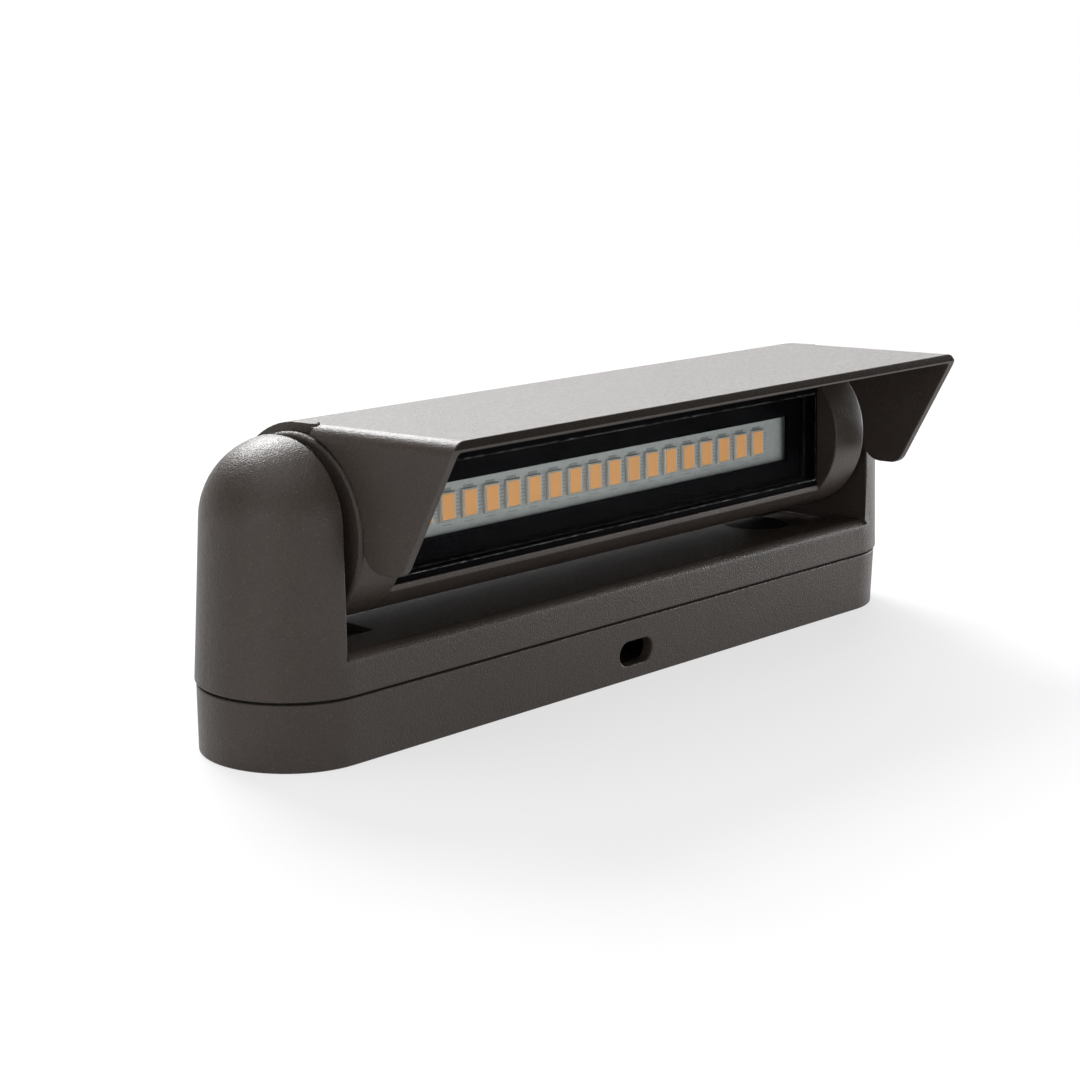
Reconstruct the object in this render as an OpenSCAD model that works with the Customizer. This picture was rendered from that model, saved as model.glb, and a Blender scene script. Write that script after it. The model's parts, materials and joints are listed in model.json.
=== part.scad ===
// Linear path light: a base and a two-post yoke carry a tilting lamp head with a folded hood.
// The origin is on the ground under the middle of the base. X runs along the lamp and -Y is its front.

/* [Base] */
// Radius of the base ends at the ground
base_foot_r = 15.5; // [15:0.1:17]
// Radius of the base ends at the seam
base_top_r = 15.75; // [15.5:0.05:17.5]
// Height of the base
base_h = 11.75; // [10.5:0.05:16]
// Wall thickness of the base
base_wall = 2.4; // [1.8:0.1:3]
// Floor thickness of the base
base_floor = 2.4; // [1.8:0.1:3.2]
// Distance between the two mounting holes
mount_spacing = 100; // [84:1:116]
// Diameter of a mounting hole
mount_d = 5; // [3.5:0.1:6]

/* [Cable slot] */
// Length of the cable slot in the front wall
slot_len = 9.4; // [7:0.1:14]
// Height of the cable slot
slot_h = 4.6; // [4.4:0.1:5]
// Place of the slot's middle along the lamp
slot_x = -0.5; // [-6:0.1:6]
// Height of the slot's middle above the ground
slot_z = 5.2; // [5:0.1:6]

/* [Yoke] */
// Thickness of the gasket in the seam
seam_t = 0.4; // [0.3:0.05:0.8]
// Radius of the yoke ends at the seam
yoke_low_r = 16.05; // [15.8:0.05:17.5]
// Radius of the posts where their domes start
dome_r = 14.9; // [14.4:0.05:15.7]
// Radius of the flat spot on top of the domes
dome_flat = 0.8; // [0.4:0.1:3]
// Height of the dome centres above the ground
dome_z = 39.5; // [38:0.1:44]
// Height of the web between the posts
web_z = 19.2; // [18.6:0.1:19.3]
// Gap between an end cap and a post, filled by a bushing flange
side_gap = 2.55; // [2.2:0.05:3]
// How far a post's inner face stands beyond the middle of its rounded end
post_inset = 1.45; // [0.8:0.05:1.6]
// Wall thickness of the yoke
yoke_wall = 2.3; // [1.8:0.1:2.6]
// Thickness of the web's top
web_t = 2.6; // [2.4:0.1:3.2]
// Rounding of the web's long top edges
web_round = 2; // [0.5:0.1:2.2]
// Depth of the shallow pockets at both ends of the web
pocket_depth = 1.4; // [1:0.1:1.6]
// Length of a pocket along the lamp
pocket_len = 14; // [8:0.2:16]
// Width of a pocket
pocket_w = 13.6; // [8:0.2:18]

/* [Sealing plug] */
// Diameter of the plug's head
plug_d = 14.8; // [13.6:0.1:15.6]
// Thickness of the plug's head
plug_t = 1; // [0.8:0.1:1.4]
// Diameter of the plug's stem
plug_stem_d = 9; // [6:0.1:11]
// Distance of the plug's middle from the right post
plug_offset = 18.2; // [16.8:0.1:20]

/* [Locking screws] */
// Diameter of the screws that lock the yoke to the base
lock_d = 4; // [3:0.5:4]
// Distance between the locking screws
lock_spacing = 90; // [84:1:110]

/* [Head] */
// Height of the tilt axis above the ground
axis_z = 37.5; // [37.4:0.05:38.5]
// Upward aim of the head as photographed, in degrees
aim = 2.3; // [-10:0.1:20]
// Radius of the lamp head
head_r = 16.2; // [15.8:0.05:16.3]
// Length of the extruded body between the end caps
body_len = 123.6; // [104:0.2:160]
// Distance of the flat front from the tilt axis
flat_y = 11.8; // [11.6:0.1:12.2]
// Outer wall thickness of the extruded body
body_wall = 2.4; // [1.8:0.1:3]
// Thickness of an end cap
cap_t = 10.3; // [9.4:0.1:10.7]
// Wall of an end cap behind its wiring pocket
cap_wall = 3.8; // [3:0.1:5]
// Bevel around an end cap's outer face
cap_bevel = 0.6; // [0.3:0.1:1]

/* [Lens] */
// Height of the glass
glass_h = 18.2; // [17:0.1:18.6]
// Thickness of the glass
glass_t = 3; // [2:0.1:3.2]
// Depth of the glass below the rim
glass_sink = 0.2; // [0:0.05:0.5]
// Width of the gasket around the glass
gasket_w = 0.95; // [0.5:0.05:1.1]
// Thickness of the gasket behind the glass
gasket_t = 0.5; // [0.3:0.05:0.8]

/* [Light strip] */
// Least length of bare board beyond the last light source, at each end of the window
led_margin = 5.4; // [2:0.1:9]
// Distance between neighbouring light sources
led_pitch = 5.62; // [4.6:0.01:5.9]
// Width of the glowing face of a light source
led_face_w = 3.04; // [2:0.02:3.2]
// Height of the glowing face of a light source
led_face_h = 4.5; // [3:0.02:5.6]
// Border of a package round its glowing face
led_rim = 0.33; // [0.2:0.01:0.5]
// Height of a package above the board
led_t = 0.7; // [0.4:0.05:0.8]
// Distance of the visible window in the bezel from the ends of the body
window_margin = 5.5; // [4.8:0.1:7]
// Height of the visible window in the bezel
window_h = 9.1; // [7.6:0.1:9.6]
// Thickness of the circuit board
board_t = 1.6; // [1:0.1:1.8]

/* [Hood] */
// Sheet thickness of the hood
hood_t = 1.8; // [1.3:0.05:1.9]
// Depth of the shallow seat that the hood lies in
hood_seat = 0.3; // [0.2:0.05:0.6]
// Distance of the hood's front edge from the tilt axis
hood_reach = 37.5; // [34:0.5:41]
// How far a wing's outer face stands beyond the end cap
wing_over = 0.3; // [0:0.05:1.2]
// Outer bend radius of the folds
hood_bend = 2.7; // [2:0.1:3.2]
// Slant of the wings' front edges from the upright, in degrees
wing_slant = 29.5; // [25:0.5:32]
// Depth of the wings' tips below the tilt axis
wing_drop = 5.4; // [4.4:0.1:6]
// Rounding of the front corner of a wing's tip
tip_front_r = 3; // [2:0.1:3.6]
// Rounding of the back corner of a wing's tip
tip_back_r = 4.1; // [3.4:0.1:4.6]
// Gap between a wing and the round head
wing_gap = 0.7; // [0.5:0.05:1.2]
// How far the hood wraps down the back of the head, in degrees
wrap_angle = 164; // [120:1:168]

/* [Pivot] */
// Diameter of the pivot bolts
pivot_d = 8; // [7:0.1:8.4]
// Wall of the bushings round the pivot bolts
bush_wall = 1.45; // [1:0.05:2]
// Radius of the bushing flanges that fill the side gaps
bush_flange_r = 9; // [8:0.1:11]
// Radial running clearance of the pivot bolts
pivot_play = 0.05; // [0.02:0.01:0.1]
// Thickness of the posts' inner walls
post_wall = 2.6; // [2:0.1:3]
// Thickness of the spring washers
washer_t = 0.8; // [0.6:0.05:1]
// Thickness of the pivot nuts
nut_t = 2.6; // [2:0.1:2.8]

/* [Driver and leads] */
// Length of the driver board
driver_len = 64; // [56:1:70]
// Width of the driver board
driver_w = 18; // [16:0.5:20]
// Height of the driver board's posts above the floor
driver_lift = 2.6; // [2:0.1:3]
// Diameter of the lead through the hollow pivot
lead_d = 2.2; // [1.6:0.1:2.4]

/* [Hidden] */
$fn = 96;
eps = 0.01;
metal = [0.29, 0.27, 0.255];
black = [0.05, 0.05, 0.055];
steel = [0.62, 0.62, 0.6];
nylon = [0.1, 0.1, 0.1];
copper = [0.6, 0.35, 0.2];
glass = [0.15, 0.16, 0.17, 0.5];
board_green = [0.1, 0.3, 0.2];
terminal_green = [0.15, 0.45, 0.3];
board_white = [0.6, 0.6, 0.57];
pad_grey = [0.45, 0.47, 0.5];
package_white = [0.85, 0.84, 0.8];
phosphor = [0.9, 0.62, 0.3];

body_half = body_len / 2;
cap_x = body_half + cap_t;
post_x = cap_x + side_gap;
half = post_x - post_inset;
yoke_z = base_h + seam_t;
dome_round = dome_r - dome_flat;
draft = (yoke_low_r - dome_r) / (dome_z - yoke_z);
cavity_x = post_x + post_wall;
web_ceiling = web_z - web_t;
web_side_z = web_z - web_round * (1 - sin(atan(draft)));
plug_x = post_x - plug_offset;
above_all = 70;

cap_inner_x = cap_x - cap_wall;
cap_pocket_r = 8;
seat_half = glass_h / 2 + gasket_w;
gasket_end = 0.6;
gasket_lip = 1;
gasket_low = 0.2;
glass_front = glass_sink - flat_y;
glass_back = glass_front + glass_t;
glass_half_len = body_half - gasket_end;
bezel_t = 1;
bezel_face = glass_back + gasket_t;
ledge_y = bezel_face + bezel_t;
ledge_w = 3.1;
chamber_half = seat_half - ledge_w;
board_face = ledge_y + 0.9;
board_back = board_face + board_t;
board_half_len = body_half - 2.3;
board_half_h = chamber_half - 1.1;
pad_t = 0.3;
shelf_face = board_back + pad_t;
shelf_t = 1.8;
shelf_back = shelf_face + shelf_t;
window_half = body_half - window_margin;
led_count = floor(2 * (window_half - led_margin) / led_pitch);
package_w = led_face_w + 2 * led_rim;
package_h = led_face_h + 2 * led_rim;
glow_depth = 0.15;
glow_sink = 0.05;

hood_in = head_r - hood_seat;
hood_out = hood_in + hood_t;
hood_half = cap_x + wing_over;
wrap_half = hood_half - hood_t;
relief_y = 4.8;
relief_r = 0.5;
wing_r = head_r + wing_gap;
wing_top = hood_in + 0.4;
tip_rise = wing_top + wing_drop - tip_front_r;
tip_front = [(tip_front_r + tip_rise * sin(wing_slant)) / cos(wing_slant) - hood_reach,
             tip_front_r - wing_drop];
tip_overlap = 0.1;
tip_reach = wing_r + tip_back_r - tip_overlap;
tip_back = [-sqrt(tip_reach ^ 2 - (tip_back_r - wing_drop) ^ 2), tip_back_r - wing_drop];
hood_screw_span = body_half - 16.8;
hood_screw_x = [-hood_screw_span, 0, hood_screw_span];
hood_screw_sunk = 0.25;
rib_front = 9.4;
rib_bite = 0.6;
rib_half = 3.2;

cap_screw_spots = [[-3.5, 11.6], [-3.5, -11.6], [9.5, 7.5], [9.5, -7.5]];
cap_screw_len = 16;
screw_r = 1.5;
sunk_r = 2.8;
sunk_depth = 1.7;
socket_r = 1.1;
socket_depth = 1;
boss_r = 3.2;
seal_inset = 0.8;
seal_t = 0.5;

pivot_r = pivot_d / 2;
bush_r = pivot_r + pivot_play;
bush_out = bush_r + bush_wall;
side_play = 0.1;
nut_x = cavity_x + washer_t + side_play;
bolt_end = nut_x + nut_t;
bolt_flange_r = 6;
bolt_flange_t = 2.2;
nut_r = 6.9;
lead_r = lead_d / 2;
lead_bore_r = lead_r + 1;
lead_bend = 2.4;
lead_drop_x = half + dome_r - yoke_wall - lead_r - 1;
lead_meet_x = cap_inner_x + 1.6;
lead_hole_x = body_half - 9.2;

driver_z = base_floor + driver_lift;
driver_t = 1.6;
driver_top = driver_z + driver_t;
driver_post_r = 2.2;
driver_screw_r = 1;
driver_grip = 3;
driver_head_r = 1.9;
driver_head_h = 1.2;
driver_socket_r = 0.8;
driver_spots = [for (sx = [-1, 1], sy = [-1, 1]) [sx * (driver_len / 2 - 3), sy * (driver_w / 2 - 2.6)]];
terminal = [7, 8, 6.4];
terminal_hole = 3;
terminal_well_r = 1.6;
terminal_well = 1.5;
inductor_r = 4.8;
inductor_rim = 1;
winding_r = 4.2;
winding_h = 4.6;
can_r = 4.6;
can_h = 8.4;
can_round = 0.4;
rectifier = [6.4, 4.4, 2.2];
rectifier_leg = 1;
chip = [3.9, 5, 1.4];
chip_leg = [0.9, 0.4, 0.7];
chip_pitch = 1.27;
lead_z = driver_top + 2.4;
output_x = 2 - driver_len / 2;
inductor_x = -driver_len * 0.23;
rectifier_x = driver_len * 0.03;
capacitor_x = driver_len * 0.22;
chip_x = driver_len * 0.34;

lock_z = (yoke_z + web_ceiling) / 2;
lock_len = yoke_wall + 0.3;
lock_socket = 1.3;
tab_w = 9;
tab_t = 2;
wall_face = base_foot_r - base_wall;
tab_face = wall_face + 0.1;
tab_h = web_ceiling - 0.6 - base_floor;

// Draws a shape given in the Y-Z plane along X from one place to another
module along_x(from, to) {
    translate([from, 0, 0]) rotate([90, 0, 90]) linear_extrude(to - from) children();
}

// Turns a shape given as radius and height half way round each end and joins the two along X
module long_round() {
    for (side = [-1, 1])
        translate([side * half, 0, 0]) rotate([0, 0, -side * 90]) rotate_extrude(angle = 180) children();
}

// A bar with two round ends whose radius changes evenly from bottom to top
module drafted_bar(low_r, top_r, z0, z1) {
    long_round() polygon([[0, z0], [low_r, z0], [top_r, z1], [0, z1]]);
    along_x(-half, half) polygon([[-low_r, z0], [low_r, z0], [top_r, z1], [-top_r, z1]]);
}

// A flat bar with two round ends
module round_bar(r, z0, z1) {
    translate([0, 0, z0]) linear_extrude(z1 - z0) union() {
        for (side = [-1, 1]) translate([side * half, 0]) circle(r);
        square([2 * half, 2 * r], center = true);
    }
}

// Moves what is drawn round the tilt axis to its height and aim
module on_axis() {
    translate([0, 0, axis_z]) rotate([-aim, 0, 0]) children();
}

// A disc or ring along X
module x_disc(from, to, r) {
    translate([from, 0, 0]) rotate([0, 90, 0]) cylinder(r = r, h = to - from);
}

// The screw tabs that stand up inside the back of the base
module lock_tabs(play) {
    for (side = [-1, 1])
        translate([side * lock_spacing / 2 - tab_w / 2 - play, tab_face - tab_t - play, base_floor - eps])
            cube([tab_w + 2 * play, tab_t + 2 * play, tab_h + play]);
}

// A lead's straight run along Z
module lead_run(z0, z1) {
    translate([0, 0, z0]) cylinder(r = lead_r, h = z1 - z0);
}

// A quarter turn of a lead
module lead_turn() {
    rotate_extrude(angle = 90) translate([lead_bend, 0]) circle(lead_r);
}

// Base

module base_canopy() {
    color(metal) difference() {
        union() {
            difference() {
                drafted_bar(base_foot_r, base_top_r, 0, base_h);
                round_bar(wall_face, base_floor, base_h + 1);
            }
            lock_tabs(0);
            for (spot = driver_spots)
                translate([spot[0], spot[1], base_floor - eps])
                    cylinder(r = driver_post_r, h = driver_lift + eps);
        }
        for (side = [-1, 1])
            translate([side * mount_spacing / 2, 0, -1]) cylinder(d = mount_d, h = base_floor + 2);
        for (spot = driver_spots)
            translate([spot[0], spot[1], base_floor / 2]) cylinder(r = driver_screw_r, h = driver_z);
        cable_slot();
    }
}

module cable_slot() {
    translate([slot_x, 1 - wall_face, slot_z]) rotate([90, 0, 0]) linear_extrude(base_wall + 3) union() {
        for (side = [-1, 1]) translate([side * (slot_len - slot_h) / 2, 0]) circle(d = slot_h);
        square([slot_len - slot_h, slot_h], center = true);
    }
}

module seam_gasket() {
    color(black) difference() {
        round_bar(base_top_r - 0.45, base_h, yoke_z);
        round_bar(wall_face, base_h - 1, yoke_z + 1);
        lock_tabs(0.3);
    }
}

// Yoke

// Half outline of a post, as radius and height, drawn in by a wall thickness
module post_outline(inset, z0) {
    low_r = yoke_low_r - inset - (z0 - yoke_z) * draft;
    polygon([[0, z0], [low_r, z0], [dome_r - inset, dome_z], [0, dome_z]]);
    translate([0, dome_z - eps]) square([dome_flat, dome_round - inset + eps]);
    translate([dome_flat, dome_z]) intersection() {
        circle(dome_round - inset);
        translate([-eps, -eps]) square(dome_r);
    }
}

// Cross-section of the web, whose rounded long edges run smoothly into its leaning sides
module web_outline() {
    round_z = web_z - web_round;
    round_y = yoke_low_r - (round_z - yoke_z) * draft - web_round / cos(atan(draft));
    side_y = round_y + web_round * cos(atan(draft));
    polygon([[-yoke_low_r, yoke_z], [yoke_low_r, yoke_z], [side_y, web_side_z], [round_y, web_z],
        [-round_y, web_z], [-side_y, web_side_z]]);
    for (side = [-1, 1]) translate([side * round_y, round_z]) circle(web_round);
}

module yoke_housing() {
    color(metal) difference() {
        union() {
            long_round() post_outline(0, yoke_z);
            along_x(-half, half) web_outline();
        }
        along_x(-post_x, post_x) difference() {
            translate([-yoke_low_r - 1, web_side_z]) square([2 * yoke_low_r + 2, above_all]);
            web_outline();
        }
        post_cavities();
        along_x(-cavity_x, cavity_x) web_cavity();
        web_pockets();
        plug_holes();
        for (side = [-1, 1]) {
            translate([side * (post_x + post_wall / 2), 0, axis_z]) rotate([0, 90, 0])
                cylinder(r = bush_out, h = post_wall + 2, center = true);
            translate([side * lock_spacing / 2, tab_face, lock_z]) rotate([-90, 0, 0])
                cylinder(d = lock_d, h = yoke_wall + 3);
        }
    }
}

// The hollow inside of the posts, open at the bottom
module post_cavities() {
    difference() {
        long_round() post_outline(yoke_wall, yoke_z - 1);
        translate([-cavity_x, -yoke_low_r, 0]) cube([2 * cavity_x, 2 * yoke_low_r, above_all]);
    }
}

// The hollow under the web, open at the bottom
module web_cavity() {
    side = yoke_low_r - yoke_wall;
    polygon([[-side, yoke_z - 1], [side, yoke_z - 1], [side - 0.3, web_ceiling], [0.3 - side, web_ceiling]]);
}

module web_pockets() {
    for (side = [-1, 1])
        translate([side * (post_x - pocket_len / 2), 0, web_z])
            cube([pocket_len, pocket_w, 2 * pocket_depth], center = true);
}

module plug_holes() {
    translate([plug_x, 0, web_z - pocket_depth]) cylinder(d = plug_d + 0.4, h = pocket_depth + 1);
    translate([plug_x, 0, web_ceiling - 1]) cylinder(d = plug_stem_d, h = web_t + 2);
}

// Head, stem and holding lip of the rubber plug, turned about its own axis
module sealing_plug() {
    stem_r = plug_stem_d / 2;
    under = web_z - pocket_depth;
    edge = plug_d / 2;
    color(black) translate([plug_x, 0, 0]) rotate_extrude() polygon([
        [0, web_ceiling - 1.4], [stem_r - 0.4, web_ceiling - 1.4], [stem_r + 0.7, web_ceiling],
        [stem_r, web_ceiling], [stem_r, under], [edge, under],
        [edge, under + plug_t - 0.3], [edge - 0.3, under + plug_t], [0, under + plug_t]]);
}

module locking_screws() {
    color(steel) for (side = [-1, 1])
        translate([side * lock_spacing / 2, tab_face, lock_z]) rotate([-90, 0, 0]) difference() {
            cylinder(d = lock_d, h = lock_len);
            translate([0, 0, lock_len - lock_socket]) cylinder(d = lock_d / 2, h = lock_socket + 1, $fn = 6);
        }
}

// Driver and leads

// Screw holes of the driver board
module driver_holes(r, z0, z1) {
    for (spot = driver_spots) translate([spot[0], spot[1], z0]) cylinder(r = r, h = z1 - z0);
}

module driver_board() {
    color(board_green) difference() {
        translate([-driver_len / 2, -driver_w / 2, driver_z]) cube([driver_len, driver_w, driver_t]);
        driver_holes(driver_screw_r + 0.1, driver_z - 1, driver_top + 1);
    }
}

module driver_screws() {
    socket_z = driver_top + driver_head_h / 2;
    color(steel) {
        driver_holes(driver_screw_r, driver_z - driver_grip, driver_top);
        difference() {
            driver_holes(driver_head_r, driver_top, driver_top + driver_head_h);
            driver_holes(driver_socket_r, socket_z, socket_z + driver_head_h, $fn = 6);
        }
    }
}

// Drum core with a winding between its two flanges
module driver_inductor() {
    color(copper) translate([inductor_x, 2, driver_top]) {
        cylinder(r = winding_r, h = winding_h + 2 * inductor_rim);
        for (z = [0, inductor_rim + winding_h])
            translate([0, 0, z]) cylinder(r = inductor_r, h = inductor_rim);
    }
}

// Round capacitor with a rolled groove near its foot and a bevelled top edge
module driver_capacitor() {
    neck_r = can_r - can_round;
    color(black) translate([capacitor_x, 0, driver_top]) rotate_extrude()
        polygon([[0, 0], [can_r, 0], [can_r, 3.5 * can_round], [neck_r, 4.5 * can_round],
            [can_r, 5.5 * can_round], [can_r, can_h - can_round], [neck_r, can_h], [0, can_h]]);
}

// Flat rectifier with two legs on each long side
module driver_rectifier() {
    color(black) translate([rectifier_x, 3, driver_top]) {
        translate([0, 0, 0.6]) cube(rectifier);
        for (x = [0.8, rectifier[0] - 0.8 - rectifier_leg], y = [-rectifier_leg, rectifier[1]])
            translate([x, y, 0]) cube([rectifier_leg, rectifier_leg, 1.4]);
    }
}

// Controller chip with four legs on each side
module driver_chip() {
    color(black) translate([chip_x, -2.5, driver_top]) {
        translate([0, 0, 0.2]) cube(chip);
        for (x = [-chip_leg[0], chip[0]], leg = [0:3])
            translate([x, 0.5 + leg * chip_pitch, 0]) cube(chip_leg);
    }
}

// Screw terminal with one wire hole, given from its wire side
module screw_terminal() {
    translate([0, -terminal[1] / 2, 0]) difference() {
        cube(terminal);
        translate([-1, terminal[1] / 2, lead_z - driver_top]) rotate([0, 90, 0])
            cylinder(r = lead_r, h = terminal_hole + 1);
        translate([terminal[0] / 2 + 1, terminal[1] / 2, terminal[2] - terminal_well])
            cylinder(r = terminal_well_r, h = terminal_well + 1);
    }
}

module input_terminal() {
    color(terminal_green) translate([slot_x, 0.6 - driver_w / 2, driver_top])
        rotate([0, 0, 90]) screw_terminal();
}

module output_terminal() {
    color(terminal_green) translate([output_x, 0, driver_top]) screw_terminal();
}

// From the output terminal through the left post to the middle of the hollow pivot bolt
module supply_lead() {
    turn_x = lead_bend - lead_drop_x;
    color(black) {
        translate([0, 0, lead_z]) rotate([0, 90, 0]) lead_run(turn_x, output_x + terminal_hole);
        translate([turn_x, 0, lead_z + lead_bend]) rotate([90, 0, 0]) rotate([0, 0, 180]) lead_turn();
        translate([-lead_drop_x, 0, 0]) lead_run(lead_z + lead_bend, axis_z - lead_bend);
        translate([turn_x, 0, axis_z - lead_bend]) rotate([90, 0, 0]) rotate([0, 0, 90]) lead_turn();
        translate([0, 0, axis_z]) rotate([0, 90, 0]) lead_run(turn_x, -lead_meet_x);
    }
}

// Pivots

// Sleeve in the post wall and a flange that fills the gap beside the head
module bushing() {
    translate([0, 0, axis_z]) difference() {
        union() {
            x_disc(cap_x + side_play, post_x, bush_flange_r);
            x_disc(post_x - eps, cavity_x, bush_out);
        }
        x_disc(cap_x - 1, cavity_x + 1, bush_r);
    }
}

module left_bushing() {
    color(nylon) mirror([1, 0, 0]) bushing();
}

module right_bushing() {
    color(nylon) bushing();
}

module spring_washers() {
    color(steel) for (side = [0, 1]) mirror([side, 0, 0]) translate([0, 0, axis_z]) difference() {
        x_disc(cavity_x, cavity_x + washer_t, bush_out + 1.4);
        x_disc(cavity_x - 1, cavity_x + 2, bush_r);
    }
}

// Hollow shoulder bolt: its flange sits in the cap, its shank turns in the bushing
module pivot_bolt() {
    difference() {
        union() {
            x_disc(cap_inner_x - bolt_flange_t, cap_inner_x, bolt_flange_r);
            x_disc(cap_inner_x - eps, bolt_end, pivot_r);
        }
        x_disc(cap_inner_x - bolt_flange_t - 1, bolt_end + 1, lead_bore_r);
    }
}

module left_pivot_bolt() {
    color(steel) mirror([1, 0, 0]) on_axis() pivot_bolt();
}

module right_pivot_bolt() {
    color(steel) on_axis() pivot_bolt();
}

module pivot_nuts() {
    color(steel) for (side = [0, 1]) mirror([side, 0, 0]) on_axis() difference() {
        translate([nut_x, 0, 0]) rotate([0, 90, 0]) cylinder(r = nut_r, h = nut_t, $fn = 6);
        x_disc(nut_x - 1, bolt_end + 1, pivot_r);
    }
}

// Head

// Sector behind the tilt axis, from the top round to an angle
module back_sector(angle) {
    end_z = above_all * cos(angle) / sin(angle);
    polygon([[0, 0], [0, above_all], [above_all, above_all], [above_all, end_z]]);
}

// The shallow seat of the hood in the round outline
module hood_seat_outline() {
    difference() {
        back_sector(wrap_angle + 1);
        circle(hood_in);
    }
    translate([-head_r, hood_in]) square([head_r + eps, head_r]);
}

// Cross-section of the aluminium body: glass pocket, light chamber, shelf, rear hollow and screw ports
module body_outline() {
    difference() {
        circle(head_r);
        translate([-flat_y - head_r, -head_r - 1]) square([head_r, 2 * head_r + 2]);
        hood_seat_outline();
        translate([-head_r, -seat_half]) square([head_r + ledge_y, 2 * seat_half]);
        translate([-head_r, -chamber_half]) square([head_r + shelf_face, 2 * chamber_half]);
        difference() {
            circle(hood_in - body_wall);
            translate([shelf_back - above_all, -above_all / 2]) square(above_all);
            translate([rib_front, -rib_half]) square([head_r, 2 * rib_half]);
            for (spot = cap_screw_spots) translate(spot) circle(boss_r);
        }
        for (spot = cap_screw_spots) translate(spot) circle(screw_r);
    }
}

module head_extrusion() {
    color(metal) on_axis() difference() {
        along_x(-body_half, body_half) body_outline();
        for (x = hood_screw_x)
            translate([x, rib_front - 1, 0]) rotate([-90, 0, 0]) cylinder(r = screw_r, h = head_r);
        translate([-lead_hole_x, board_back, 0]) rotate([-90, 0, 0])
            cylinder(r = lead_bore_r, h = shelf_back - board_back + 1);
    }
}

// Flat seal between a cap and the body
module seal_outline() {
    difference() {
        circle(hood_in - seal_inset);
        translate([-flat_y + seal_inset - above_all, -above_all / 2]) square(above_all);
    }
}

// Countersunk screw given from its tip up to its flat head
module sunk_screw(length) {
    difference() {
        union() {
            cylinder(r = screw_r, h = length - sunk_depth + eps);
            translate([0, 0, length - sunk_depth]) cylinder(r1 = screw_r, r2 = sunk_r, h = sunk_depth);
        }
        translate([0, 0, length - socket_depth]) cylinder(r = socket_r, h = socket_depth + 1, $fn = 6);
    }
}

// The hole for a countersunk screw whose flat head is at height zero
module sunk_hole(depth) {
    translate([0, 0, -depth]) cylinder(r = screw_r, h = depth);
    translate([0, 0, -sunk_depth]) cylinder(r1 = screw_r, r2 = sunk_r, h = sunk_depth);
    cylinder(r = sunk_r, h = 3);
}

module end_cap() {
    difference() {
        rotate([0, 90, 0]) rotate_extrude() polygon([[0, body_half], [head_r, body_half],
            [head_r, cap_x - cap_bevel], [head_r - cap_bevel, cap_x], [0, cap_x]]);
        along_x(body_half - 1, wrap_half + 0.2) hood_seat_outline();
        along_x(body_half - 1, body_half + seal_t) seal_outline();
        x_disc(body_half - 1, cap_inner_x, cap_pocket_r);
        x_disc(cap_inner_x - 1, cap_x + 1, pivot_r);
        for (spot = cap_screw_spots)
            translate([cap_x, spot[0], spot[1]]) rotate([0, 90, 0]) sunk_hole(cap_screw_len);
    }
}

module left_end_cap() {
    color(metal) mirror([1, 0, 0]) on_axis() end_cap();
}

module right_end_cap() {
    color(metal) on_axis() end_cap();
}

module cap_seals() {
    color(black) for (side = [0, 1]) mirror([side, 0, 0]) on_axis() difference() {
        along_x(body_half, body_half + seal_t) seal_outline();
        x_disc(body_half - 1, cap_inner_x, cap_pocket_r);
        for (spot = cap_screw_spots)
            translate([0, spot[0], spot[1]]) x_disc(body_half - 1, cap_x, screw_r + 0.2);
    }
}

module cap_screws() {
    color(steel) for (side = [0, 1], spot = cap_screw_spots) mirror([side, 0, 0]) on_axis()
        translate([cap_x - cap_screw_len, spot[0], spot[1]]) rotate([0, 90, 0]) sunk_screw(cap_screw_len);
}

// A box along the head, centred on the axis in X and Z
module head_box(half_len, half_h, from_y, to_y) {
    translate([-half_len, from_y, -half_h]) cube([2 * half_len, to_y - from_y, 2 * half_h]);
}

module lens_glass() {
    color(glass) on_axis() head_box(glass_half_len, glass_h / 2, glass_front, glass_back);
}

// Frame with an L section that wraps the edge and the back of the glass
module lens_gasket() {
    color(black) on_axis() difference() {
        head_box(body_half, seat_half, glass_front + gasket_low, bezel_face);
        head_box(glass_half_len, glass_h / 2, glass_front - 1, glass_back);
        head_box(glass_half_len - gasket_lip, glass_h / 2 - gasket_lip, glass_front - 1, bezel_face + 1);
    }
}

module board_bezel() {
    color(black) on_axis() difference() {
        head_box(body_half, seat_half, bezel_face, ledge_y);
        head_box(window_half, window_h / 2, bezel_face - 1, ledge_y + 1);
    }
}

module led_board() {
    color(board_white) on_axis() head_box(board_half_len, board_half_h, board_face, board_back);
}

module thermal_pad() {
    color(pad_grey) on_axis() difference() {
        head_box(board_half_len, board_half_h, board_back, shelf_face);
        translate([-lead_hole_x, board_back - 1, 0]) rotate([-90, 0, 0])
            cylinder(r = lead_bore_r, h = pad_t + 2);
    }
}

// Repeats what is drawn at every light source, with its foot on the board
module at_each_led() {
    for (i = [0 : led_count - 1])
        translate([(i - (led_count - 1) / 2) * led_pitch, board_face, 0]) children();
}

module led_packages() {
    color(package_white) on_axis() at_each_led() difference() {
        translate([-package_w / 2, -led_t, -package_h / 2]) cube([package_w, led_t, package_h]);
        translate([-led_face_w / 2, -led_t - 1, -led_face_h / 2])
            cube([led_face_w, 1 + led_t - glow_depth, led_face_h]);
    }
}

module led_phosphors() {
    color(phosphor) on_axis() at_each_led()
        translate([-led_face_w / 2, glow_sink - led_t, -led_face_h / 2])
            cube([led_face_w, led_t - glow_depth - glow_sink, led_face_h]);
}

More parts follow.
